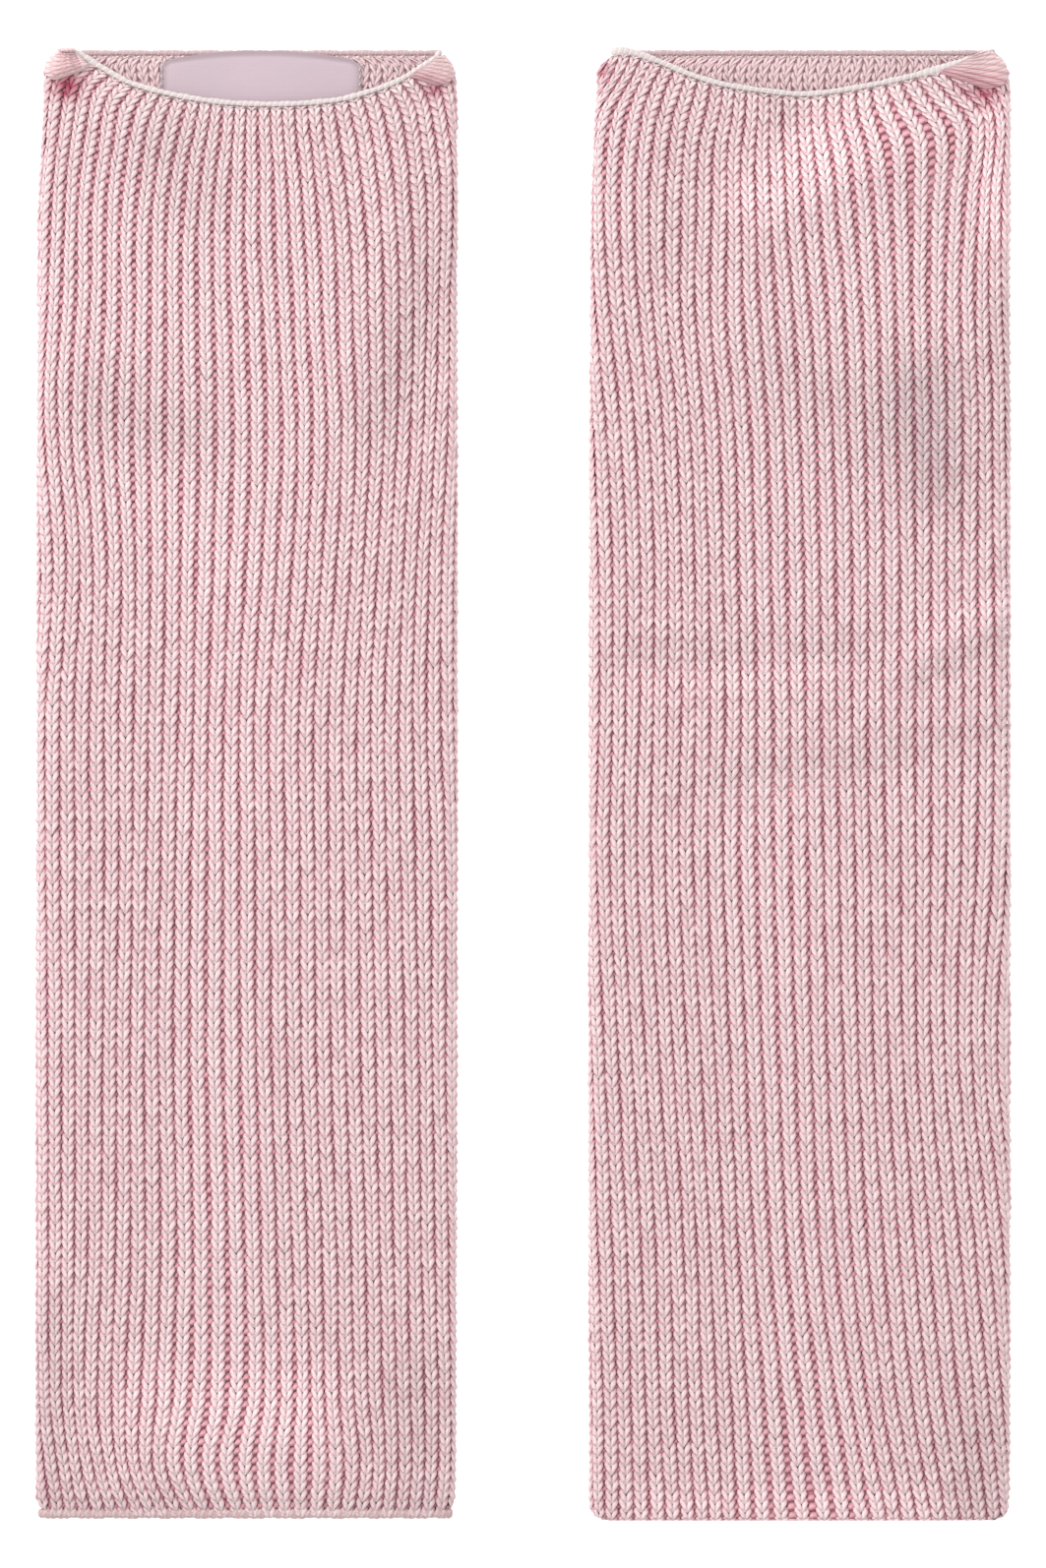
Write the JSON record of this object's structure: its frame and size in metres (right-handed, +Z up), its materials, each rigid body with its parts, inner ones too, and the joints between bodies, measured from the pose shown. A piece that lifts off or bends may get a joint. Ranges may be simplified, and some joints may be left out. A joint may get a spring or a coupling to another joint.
{
  "type": "pair of leg warmers",
  "caption": "Two rib-knitted leg warmers lying flat side by side, with lowered front mouths, a bound-off mouth edge and a blank label sewn inside one.",
  "frame": {"origin": "on the ground, under the middle of the pair's bounding box", "axes": "+X to the right across the two legs, +Y along the legs from hem to mouth, +Z up out of the surface they lie on"},
  "size_m": [0.1993, 0.2991, 0.0072],
  "materials": {
    "rib_knit": "pale pink marled cotton yarn in 1x1 rib, matt with a soft nap, deeper pink in the grooves",
    "edge_chain": "whitish bound-off chain of cotton yarn, matt",
    "hem_band": "pale pink cast-on band, matt, finely gathered",
    "label_satin": "pale lilac woven satin with a low sheen, blank"
  },
  "bodies": {
    "root": {"left_leg": "rib_knit", "right_leg": "rib_knit", "left_mouth_edge": "edge_chain", "right_mouth_edge": "edge_chain", "left_hem_edge": "hem_band", "label": "label_satin"}
  },
  "joints": []
}
